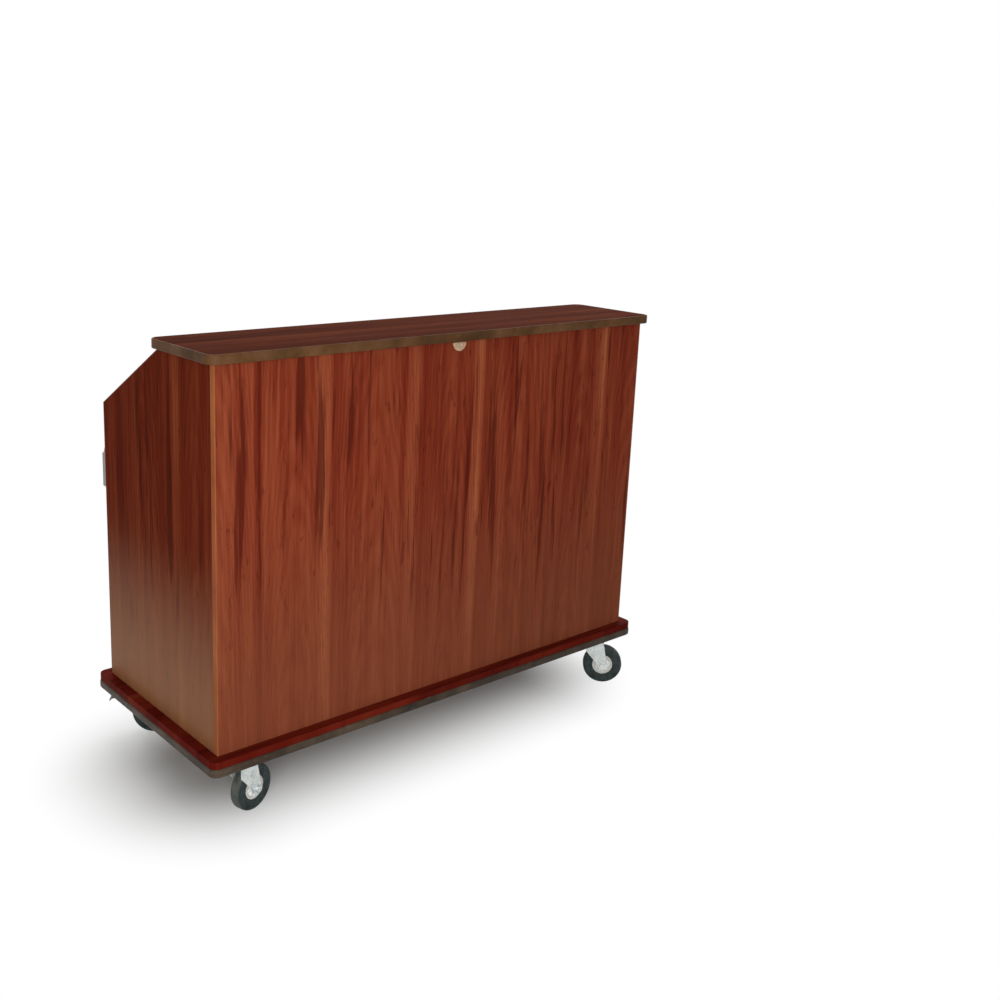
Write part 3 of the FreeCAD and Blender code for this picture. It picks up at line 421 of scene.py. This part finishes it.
def zincPlate(name, look):
    mat, tree, shader = startFinish(name, look)
    point = objectPoint(tree)
    flakes = tree.nodes.new("ShaderNodeTexVoronoi")
    flakes.inputs["Scale"].default_value = zincWear["flakes"]
    tree.links.new(point, flakes.inputs["Vector"])
    layer = noises(tree, point, zincNoises)
    flakeTone = axesOf(tree, flakes.outputs["Color"])["X"]
    tone = weighted(tree, layer["cloud"], flakeTone, zincWear["flakeShares"])
    colour = mottled(tree, tone, look)
    colour = blendColours(tree, spread(tree, layer["stain"], *zincWear["stains"]), colour, look["stain"])
    coat(tree, shader, colour, roughFrom(tree, tone, look["roughness"], **zincWear["matt"]))
    emboss(tree, shader, layer["cloud"], **zincWear["relief"])
    return mat


# Wheels: grey rubber with a dusty tread and fine moulded rings, pale moulded hubs
wheelLooks = {
    "hub": dict(
        dark="c4c6c3", body="dfe0dc", light="ecece8", dirt="8f8c84", roughness=0.42, gloss=0.4,
        noises=dict(cloud=dict(scale=60, detail=4, rough=0.6), grain=dict(scale=1100, detail=1)),
        dirtFrom=(0.021, 0.032), dirtWear=(0.3, 0.6, 0.1, 0.6),
        matt=dict(places=(0.3, 0.7), less=0.04, more=0.12),
        relief=dict(strength=0.1, distance=0.0003, edge=0.0006)),
    "tyre": dict(
        dark="1a2120", body="273130", light="3a4442", dirt="565850", roughness=0.62, gloss=0.2,
        noises=dict(cloud=dict(scale=45, detail=4, rough=0.65), grain=dict(scale=700, detail=2)),
        dirtFrom=(0.0595, 0.063), dirtWear=(0.35, 0.6, 0.25, 0.75),
        matt=dict(places=(0.3, 0.7), less=0.1, more=0.12),
        rings=3600, ringDepth=0.25, relief=dict(strength=0.2, distance=0.0003)),
}


def wheelRadius(tree, point):
    axes = axesOf(tree, point)
    squares = plus(tree, times(tree, axes["X"], axes["X"]), times(tree, axes["Z"], axes["Z"]))
    return sums(tree, "SQRT", squares)


def wheelFinish(name, look, wheel):
    mat, tree, shader = startFinish(name, look)
    point = objectPoint(tree, wheel)
    radius = wheelRadius(tree, point)
    layer = noises(tree, point, look["noises"])
    colour = mottled(tree, layer["cloud"], look)
    patches = spread(tree, layer["cloud"], *look["dirtWear"])
    dirty = times(tree, spread(tree, radius, *look["dirtFrom"]), patches)
    colour = blendColours(tree, dirty, colour, look["dirt"])
    coat(tree, shader, colour, roughFrom(tree, layer["grain"], look["roughness"], **look["matt"]))
    height = layer["grain"]
    if "rings" in look:
        wave = sums(tree, "SINE", times(tree, radius, look["rings"]))
        height = plus(tree, height, times(tree, wave, look["ringDepth"]))
    emboss(tree, shader, height, **look["relief"])
    return mat


# The small finishes: painted, cast, dipped and foamed pieces share one mottled build
smallLooks = {
    "edgeStrip": dict(dark="3b1c12", body="56291a", light="6b3826", roughness=0.42, gloss=0.3, size=30),
    "foamBlock": dict(dark="b7ad8e", body="cdc4a6", light="ddd5ba", roughness=0.9, gloss=0.1, size=240),
    "bronzeBush": dict(dark="6b4a22", body="8d6a35", light="a98549", roughness=0.4, gloss=0.5, size=120,
                       metal=1.0),
    "pedalPaint": dict(dark="191a1b", body="262829", light="3a3c3d", roughness=0.45, gloss=0.45, size=70),
    "valveBrass": dict(dark="8a6a34", body="ad8a4c", light="c6a767", roughness=0.32, gloss=0.5, size=60,
                       metal=1.0),
    "leverDip": dict(dark="6d0f0d", body="8f1713", light="a8281f", roughness=0.4, gloss=0.5, size=80),
    "badgeMetal": dict(dark="94795c", body="b4957a", light="cbb092", roughness=0.36, gloss=0.5, size=140,
                       metal=0.35),
    "sealant": dict(dark="a9a7a2", body="bfbdb8", light="cfcdc8", roughness=0.35, gloss=0.4, size=50),
}
smallWear = dict(
    cloud=dict(detail=4, rough=0.6), grain=dict(detail=2), finer=12,
    matt=dict(places=(0.3, 0.7), less=0.06, more=0.08),
    relief=dict(strength=0.15, distance=0.0003, edge=0.0006),
)


def smallFinish(name, look):
    mat, tree, shader = startFinish(name, look)
    point = objectPoint(tree)
    cloud = noise(tree, point, scale=look["size"], **smallWear["cloud"])
    grain = noise(tree, point, scale=look["size"] * smallWear["finer"], **smallWear["grain"])
    colour = mottled(tree, cloud, look)
    coat(tree, shader, colour, roughFrom(tree, grain, look["roughness"], **smallWear["matt"]))
    emboss(tree, shader, grain, **smallWear["relief"])
    return mat


recipes = [(smallFinish, smallLooks), (laminate, laminateLooks), (vinyl, vinylLooks),
           (timber, timberLooks), (brushedSteel, steelLooks), (zincPlate, zincLooks)]
finishes = {}
for make, looks in recipes:
    for name, look in looks.items():
        finishes[name] = make(name, look)

# Which finish each node wears
worn = {
    "base_deck": "deckLaminate", "base_bumper": "bumperVinyl", "base_long_rails": "timber",
    "base_cross_rails": "timber", "front_panel": "frontLaminate", "left_side_panel": "sideLaminate",
    "right_side_panel": "sideLaminate", "left_edge_strip": "edgeStrip", "right_edge_strip": "edgeStrip",
    "rear_apron": "apronLaminate", "top_board": "topLaminate", "top_edge_band": "topBand",
    "top_cleats": "stainedTimber", "worktop": "worktopSteel", "worktop_cleats": "stainedTimber",
    "angle_brackets": "zinc", "bracket_screws": "zinc", "badge_plate": "badgeMetal",
    "ice_bin_liner": "binSteel", "ice_bin_jacket": "foamBlock", "bin_divider": "binSteel",
    "drain_strainer": "binSteel", "drain_valve": "valveBrass", "drain_lever": "leverDip",
    "left_speed_rail": "railSteel", "right_speed_rail": "railSteel", "left_rail_ends": "shadedRailEndSteel",
    "right_rail_ends": "shadedRailEndSteel", "caster_kingpins": "zinc", "caster_bolts": "zinc",
}
casterWorn = {"plate": "zinc", "fork": "zinc", "axle": "zinc", "bushing": "bronzeBush",
              "brake_pedal": "pedalPaint", "brake_pin": "zinc"}
for corner, caster in casters.items():
    for part, look in wheelLooks.items():
        finish = f"{part}_{corner}"
        finishes[finish] = wheelFinish(finish, look, caster)
        worn[f"caster_{corner}_{part}"] = finish
    for part, finish in casterWorn.items():
        if f"caster_{corner}_{part}" in nodes:
            worn[f"caster_{corner}_{part}"] = finish
for name, node in nodes.items():
    for slot in node.material_slots:
        slot.material = finishes[worn[name]]
print("finishes made:", len(finishes), "on", len(worn), "nodes")


# Modelling helpers
weld = 0.00002  # points closer than this become one
near = 0.0001  # a point this close to a face counts as on it
smoothUpTo = math.radians(35)


def startPiece():
    if bpy.context.mode != "OBJECT":
        bpy.ops.object.mode_set(mode="OBJECT")
    bpy.ops.object.select_all(action="DESELECT")


def settle(scale=(1, 1, 1)):  # the piece just added, with its place and scale taken into its mesh
    piece = bpy.context.object
    piece.scale = scale
    bpy.ops.object.transform_apply(location=True, rotation=True, scale=True)
    return piece


def addBox(low, high):
    size = Vector(high) - Vector(low)
    bpy.ops.mesh.primitive_cube_add(size=1, location=Vector(low) + size / 2)
    return settle(size)


def editPiece(kind):
    bpy.ops.object.mode_set(mode="EDIT")
    bpy.ops.mesh.select_mode(type=kind)


def pick(kind, test):
    bpy.ops.mesh.select_mode(type=kind)
    bpy.ops.mesh.select_all(action="DESELECT")
    mesh = bpy.context.edit_object.data
    work = bmesh.from_edit_mesh(mesh)
    for item in {"VERT": work.verts, "EDGE": work.edges}[kind]:
        if test(item):
            item.select_set(True)
    bmesh.update_edit_mesh(mesh)


def mirrorCopy(flip):  # adds the mirror image of the whole piece
    bpy.ops.mesh.select_all(action="SELECT")
    bpy.ops.mesh.duplicate()
    bpy.ops.transform.resize(value=flip, center_override=(0, 0, 0))


def closePiece():
    bpy.ops.mesh.select_all(action="SELECT")
    bpy.ops.mesh.remove_doubles(threshold=weld)
    bpy.ops.mesh.normals_make_consistent(inside=False)
    bpy.ops.object.mode_set(mode="OBJECT")
    bpy.ops.object.transform_apply(location=True, rotation=True, scale=True)


def dressPiece(piece, name, body, finish):
    startPiece()
    piece.select_set(True)
    bpy.context.view_layer.objects.active = piece
    bpy.ops.object.transform_apply(location=True, rotation=True, scale=True)
    bpy.ops.object.shade_smooth_by_angle(angle=smoothUpTo)
    piece.name = name
    piece.data.name = name
    piece.data.materials.clear()
    piece.data.materials.append(finishes[finish])
    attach(piece, body)
    startPiece()


def copyPiece(piece, place, turn=0.0):
    twin = piece.copy()
    twin.data = piece.data.copy()
    bpy.context.scene.collection.objects.link(twin)
    twin.location = place
    twin.rotation_euler = (0, 0, turn)
    return twin


# Moulded ribs of the hubs and the raised rings of the tyre walls
ribs = dict(count=6, inner=0.0146, outer=0.0262, low=0.0066, high=0.0122, fall=0.0014, width=0.0032,
            soft=0.0006)
rings = dict(radii=(0.0415, 0.0530), wall=0.0158, bead=0.0008, sides=10, steps=72)


def modelHubRibs(sizes):
    startPiece()
    half = sizes["width"] / 2
    piece = addBox((sizes["inner"], sizes["low"], -half), (sizes["outer"], sizes["high"], half))
    editPiece("EDGE")
    pick("VERT", lambda v: v.co.x > sizes["outer"] - near and v.co.y > sizes["high"] - near)
    bpy.ops.transform.translate(value=(0, -sizes["fall"], 0))
    pick("EDGE", lambda e: all(v.co.y > sizes["high"] - sizes["fall"] - near for v in e.verts))
    bpy.ops.mesh.bevel(offset=sizes["soft"], segments=2, affect="EDGES")
    bpy.ops.mesh.select_all(action="SELECT")
    bpy.ops.mesh.spin(steps=sizes["count"], dupli=True, angle=math.tau, center=(0, 0, 0), axis=(0, 1, 0))
    mirrorCopy((1, -1, 1))
    closePiece()
    return piece


def modelTyreRings(sizes):
    startPiece()
    inner, outer = sizes["radii"]
    bpy.ops.mesh.primitive_circle_add(vertices=sizes["sides"], radius=sizes["bead"],
                                      location=(inner, sizes["wall"], 0))
    piece = settle()
    editPiece("VERT")
    bpy.ops.mesh.select_all(action="SELECT")
    bpy.ops.mesh.duplicate()
    bpy.ops.transform.translate(value=(outer - inner, 0, 0))
    bpy.ops.mesh.select_all(action="SELECT")
    bpy.ops.mesh.spin(steps=sizes["steps"], angle=math.tau, center=(0, 0, 0), axis=(0, 1, 0))
    bpy.ops.mesh.select_all(action="SELECT")
    bpy.ops.mesh.remove_doubles(threshold=weld)
    mirrorCopy((1, -1, 1))
    closePiece()
    return piece


hubPattern = modelHubRibs(ribs)
ringPattern = modelTyreRings(rings)
for corner, caster in casters.items():
    ribsHere = copyPiece(hubPattern, caster["centre"], caster["turn"])
    ringsHere = copyPiece(ringPattern, caster["centre"], caster["turn"])
    dressPiece(ribsHere, "hubRibs_" + corner, "wheel_" + corner, "hub_" + corner)
    dressPiece(ringsHere, "tyreRings_" + corner, "wheel_" + corner, "tyre_" + corner)
bpy.data.objects.remove(hubPattern)
bpy.data.objects.remove(ringPattern)
print("wheel details modelled")


# Pressed guard round each ball race, under the caster plate
guard = dict(radius=0.0258, rise=0.0045, bead=0.0019, sides=12, tall=1.5, steps=64)


def modelRaceGuard(sizes):
    startPiece()
    start = (sizes["radius"], 0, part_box("caster_fl_plate")[0].z + sizes["rise"])
    bpy.ops.mesh.primitive_circle_add(vertices=sizes["sides"], radius=sizes["bead"], location=start,
                                      rotation=(math.pi / 2, 0, 0))
    piece = settle()
    editPiece("VERT")
    bpy.ops.mesh.select_all(action="SELECT")
    bpy.ops.transform.resize(value=(1, 1, sizes["tall"]), center_override=start)
    bpy.ops.mesh.spin(steps=sizes["steps"], angle=math.tau, center=(0, 0, 0), axis=(0, 0, 1))
    closePiece()
    return piece


guardPattern = modelRaceGuard(guard)
for corner, caster in casters.items():
    dressPiece(copyPiece(guardPattern, caster["place"]), "raceGuard_" + corner, "cabinet", "zinc")
bpy.data.objects.remove(guardPattern)
print("race guards modelled")


# Grip bars across the brake pedals, spaced by shares of the pedal's reach from its pin
grip = dict(shares=(0.56, 0.7, 0.84, 0.97), pin=(-0.028, 0.122), reach=0.062, fall=0.010, lift=0.0021,
            radius=0.0013, sides=14, length=0.031, soft=0.0007, corners=("rl", "rr"))


def modelGripBars(sizes):
    startPiece()
    first = sizes["shares"][0]
    pinX, pinZ = sizes["pin"]
    start = (pinX - first * sizes["reach"], 0, pinZ - first * sizes["fall"] + sizes["lift"])
    bpy.ops.mesh.primitive_cylinder_add(vertices=sizes["sides"], radius=sizes["radius"],
                                        depth=sizes["length"], location=start, rotation=(math.pi / 2, 0, 0))
    piece = settle()
    editPiece("EDGE")
    pick("EDGE", lambda e: all(abs(abs(v.co.y) - sizes["length"] / 2) < near for v in e.verts))
    bpy.ops.mesh.bevel(offset=sizes["soft"], segments=2, affect="EDGES")
    bpy.ops.mesh.select_all(action="SELECT")
    for share, last in zip(sizes["shares"][1:], sizes["shares"]):
        step = share - last
        bpy.ops.mesh.duplicate()
        bpy.ops.transform.translate(value=(-step * sizes["reach"], 0, -step * sizes["fall"]))
    closePiece()
    return piece


gripPattern = modelGripBars(grip)
for corner in grip["corners"]:
    bars = copyPiece(gripPattern, casters[corner]["place"], casters[corner]["turn"])
    dressPiece(bars, "gripBars_" + corner, "brake_" + corner, "pedalPaint")
bpy.data.objects.remove(gripPattern)
print("pedal grips modelled")


# Rolled bead along the lip of each speed rail, measured from the rail's own box
lipBead = dict(radius=0.0021, sides=14, inset=0.0016, back=0.0079, rise=0.0978, soft=0.0008)


def modelLipBead(sizes, rail):
    startPiece()
    low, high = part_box(rail)
    start = (low.x + sizes["inset"], high.y - sizes["back"], low.z + sizes["rise"])
    length = high.x - low.x - 2 * sizes["inset"]
    bpy.ops.mesh.primitive_circle_add(vertices=sizes["sides"], radius=sizes["radius"], fill_type="NGON",
                                      location=start, rotation=(0, math.pi / 2, 0))
    piece = settle()
    editPiece("FACE")
    bpy.ops.mesh.select_all(action="SELECT")
    bpy.ops.mesh.extrude_region_move(TRANSFORM_OT_translate={"value": (length, 0, 0)})
    pick("EDGE", lambda e: abs(e.verts[0].co.x - e.verts[1].co.x) < near)
    bpy.ops.mesh.bevel(offset=sizes["soft"], segments=2, affect="EDGES")
    closePiece()
    return piece


for side in ("left", "right"):
    bead = modelLipBead(lipBead, side + "_speed_rail")
    dressPiece(bead, side + "LipBead", side + "_rail", "railSteel")
print("rail beads modelled")


# Rim and two rivets of the blank badge, measured from the middle of the plate's straight upper edge
badge = dict(inset=0.0014, bead=0.001, sides=10, steps=28, rivetX=0.0125, rivetZ=-0.0065,
             rivet=0.0021, rivetSides=20, dome=0.0011, domeSoft=0.8)
plateLow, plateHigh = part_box("badge_plate")
badgeSpot = (0, plateLow.y, plateHigh.z)


def modelBadgeRim(sizes):
    startPiece()
    radius = plateHigh.x - sizes["inset"]
    bpy.ops.mesh.primitive_circle_add(vertices=sizes["sides"], radius=sizes["bead"], location=(radius, 0, 0))
    piece = settle()
    editPiece("VERT")
    bpy.ops.mesh.select_all(action="SELECT")
    bpy.ops.mesh.spin(steps=sizes["steps"], angle=math.pi, center=(0, 0, 0), axis=(0, 1, 0))
    pick("EDGE", lambda e: e.is_boundary)
    bpy.ops.mesh.bridge_edge_loops()
    bpy.ops.mesh.select_all(action="SELECT")
    # the spin goes upwards, so the arc is turned over to hang under its straight edge
    bpy.ops.transform.resize(value=(1, 1, -1), center_override=(0, 0, 0))
    bpy.ops.transform.translate(value=(0, 0, -sizes["bead"]))
    closePiece()
    piece.location = badgeSpot
    return piece


def modelRivets(sizes):
    startPiece()
    start = (sizes["rivetX"], 0, sizes["rivetZ"])
    bpy.ops.mesh.primitive_cylinder_add(vertices=sizes["rivetSides"], radius=sizes["rivet"],
                                        depth=2 * sizes["dome"], location=start, rotation=(math.pi / 2, 0, 0))
    piece = settle()
    editPiece("EDGE")
    pick("EDGE", lambda e: all(v.co.y < -sizes["dome"] + near for v in e.verts))
    bpy.ops.mesh.bevel(offset=sizes["dome"] * sizes["domeSoft"], segments=4, affect="EDGES")
    mirrorCopy((-1, 1, 1))
    closePiece()
    piece.location = badgeSpot
    return piece


dressPiece(modelBadgeRim(badge), "badgeRim", "cabinet", "badgeMetal")
dressPiece(modelRivets(badge), "badgeRivets", "cabinet", "badgeMetal")
print("badge trimmed")


# Sealant where the worktop meets the panels
seal = dict(size=0.0034, roundness=0.0026, backSink=0.0004, endGap=0.0005, sheet=0.0015, sideSink=0.0002,
            sideStart=0.003, sideEnd=0.0065)
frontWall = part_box("front_panel")[1].y
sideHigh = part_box("left_side_panel")[1]
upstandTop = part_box("worktop")[1].z
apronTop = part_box("rear_apron")[1].z


def startSealant(low, high, roundness, axis):  # a square bead, its open edge rounded; axis leads off the wall
    startPiece()
    piece = addBox(low, high)
    editPiece("EDGE")
    pick("EDGE", lambda e: all(v.co[axis] > high[axis] - near and v.co.z > high[2] - near for v in e.verts))
    bpy.ops.mesh.bevel(offset=roundness, segments=4, affect="EDGES")
    return piece


def modelBackSealant(sizes):
    half = -sideHigh.x - sizes["endGap"]
    bottom = upstandTop - sizes["backSink"]
    low = (-half, frontWall, bottom)
    high = (half, frontWall + sizes["size"], bottom + sizes["size"])
    piece = startSealant(low, high, sizes["roundness"], axis=1)
    closePiece()
    return piece


def modelSideSealant(sizes):
    bottom = apronTop + sizes["sheet"] - sizes["sideSink"]  # the worktop's sheet lies on the apron
    low = (sideHigh.x, frontWall + sizes["sideStart"], bottom)
    high = (sideHigh.x + sizes["size"], sideHigh.y - sizes["sideEnd"], bottom + sizes["size"])
    piece = startSealant(low, high, sizes["roundness"], axis=0)
    mirrorCopy((-1, 1, 1))
    closePiece()
    return piece


dressPiece(modelBackSealant(seal), "backSealant", "cabinet", "sealant")
dressPiece(modelSideSealant(seal), "sideSealant", "cabinet", "sealant")
print("sealant laid")


# Floor: plain paint in a darker grey near the bar, a painted shadow round the bar on top of the lamps'
# shadows, fading into the white room away from the bar
floorLook = dict(size=16.0, drop=0.0005, near=-0.26, far=0.18, half=(0.54, 0.04), corner=0.3,
                 middle=(-0.1, -0.04), colour="b6b6b5")


def seenRays(tree):  # 1 for what the eye, polished faces and clear pieces show, 0 for plain light
    rays = tree.nodes.new("ShaderNodeLightPath").outputs
    mirrored = sums(tree, "MAXIMUM", rays["Is Glossy Ray"], rays["Is Transmission Ray"])
    return sums(tree, "MAXIMUM", rays["Is Camera Ray"], mirrored)


def floorReach(tree, look):  # distance from a rounded patch under the bar, negative inside it
    axes = axesOf(tree, objectPoint(tree))
    past = []
    for axis, centre, half in zip("XY", look["middle"], look["half"]):
        past.append(minus(tree, sums(tree, "ABSOLUTE", minus(tree, axes[axis], centre)), half))
    outside = [sums(tree, "MAXIMUM", value, 0.0) for value in past]
    squares = plus(tree, *[times(tree, value, value) for value in outside])
    inside = sums(tree, "MINIMUM", sums(tree, "MAXIMUM", *past), 0.0)
    return minus(tree, plus(tree, sums(tree, "SQRT", squares), inside), look["corner"])


def floorWithPaintedShadow(look):
    mat = bpy.data.materials.new("floorWithPaintedShadow")
    mat.use_nodes = True
    tree = mat.node_tree
    tree.nodes.remove(tree.nodes["Principled BSDF"])
    paint = tree.nodes.new("ShaderNodeBsdfDiffuse")
    paint.inputs["Color"].default_value = tint(look["colour"])
    glow = tree.nodes.new("ShaderNodeEmission")
    glow.inputs["Color"].default_value = white
    # inside the patch the grey paint shows: painted shadow round the bar
    share = times(tree, spread(tree, floorReach(tree, look), look["near"], look["far"]), seenRays(tree))
    mix = tree.nodes.new("ShaderNodeMixShader")
    tree.links.new(share, mix.inputs["Fac"])
    tree.links.new(paint.outputs[0], mix.inputs[1])
    tree.links.new(glow.outputs[0], mix.inputs[2])
    tree.links.new(mix.outputs[0], tree.nodes["Material Output"].inputs["Surface"])
    return mat


def layFloor(look):
    startPiece()
    bpy.ops.mesh.primitive_plane_add(size=look["size"], location=(0, 0, -look["drop"]))
    floor = settle()
    floor.name = "floor"
    floor.data.materials.append(floorWithPaintedShadow(look))
    startPiece()


layFloor(floorLook)
print("floor laid")


# Soft room light and the lamps
room = dict(seen=1.0, fill=0.42)
lamps = {
    "overhead": dict(place=(0.5, 1.3, 3.4), aim=(0, 0, 0.3), size=(2.6, 2.0), power=66, mirrored=False),
    "frontFill": dict(place=(-2.5, -2.7, 1.4), aim=(-0.3, 0, 0.65), size=(1.5, 1.5), power=58),
    "lowFill": dict(place=(-1.0, -2.6, 0.45), aim=(-0.2, -0.3, 0.2), size=(1.8, 0.6), power=16),
    "rearFill": dict(place=(-0.1, 3.3, 1.1), aim=(-0.1, 0.2, 0.6), size=(1.6, 1.2), power=60, mirrored=False),
    "floorBounce": dict(place=(-1.7, 0.5, 0.16), aim=(-0.76, 0.0, 0.2), size=(1.0, 0.25), power=1.2),
}


def lightRoom(level):
    world = bpy.data.worlds.new("whiteRoom")
    bpy.context.scene.world = world
    world.use_nodes = True
    tree = world.node_tree
    back = tree.nodes["Background"]
    back.inputs["Color"].default_value = white
    shown = spread(tree, seenRays(tree), 0.0, 1.0, level["fill"], level["seen"])
    tree.links.new(shown, back.inputs["Strength"])


def hangLamps(table):
    for name, settings in table.items():
        data = bpy.data.lights.new(name, "AREA")
        data.shape = "RECTANGLE"
        data.size, data.size_y = settings["size"]
        data.energy = settings["power"]
        lamp = bpy.data.objects.new(name, data)
        bpy.context.scene.collection.objects.link(lamp)
        back = Vector(settings["place"]) - Vector(settings["aim"])
        turned = back.to_track_quat("Z", "Y").to_matrix().to_4x4()
        lamp.matrix_world = Matrix.Translation(settings["place"]) @ turned
        lamp.visible_camera = False
        lamp.visible_glossy = settings.get("mirrored", True)


lightRoom(room)
hangLamps(lamps)
print("room lit with", len(lamps), "lamps")


# Camera on the guests' side, to the left
eye = dict(place=(-2.0984, -2.6968, 1.6847), azimuth=-40.35, elevation=13.13, roll=1.9,
           lens=41.783, sensor=36.0, shift=(0.07, -0.07))


def setCamera(view):
    data = bpy.data.cameras.new("guestView")
    data.sensor_width = view["sensor"]
    data.lens = view["lens"]
    data.shift_x, data.shift_y = view["shift"]
    camera = bpy.data.objects.new("guestView", data)
    bpy.context.scene.collection.objects.link(camera)
    camera.matrix_world = (Matrix.Translation(view["place"])
                           @ Matrix.Rotation(math.radians(view["azimuth"]), 4, "Z")
                           @ Matrix.Rotation(math.radians(90 - view["elevation"]), 4, "X")
                           @ Matrix.Rotation(math.radians(view["roll"]), 4, "Z"))
    bpy.context.scene.camera = camera


setCamera(eye)
bpy.context.scene.view_settings.view_transform = "Standard"
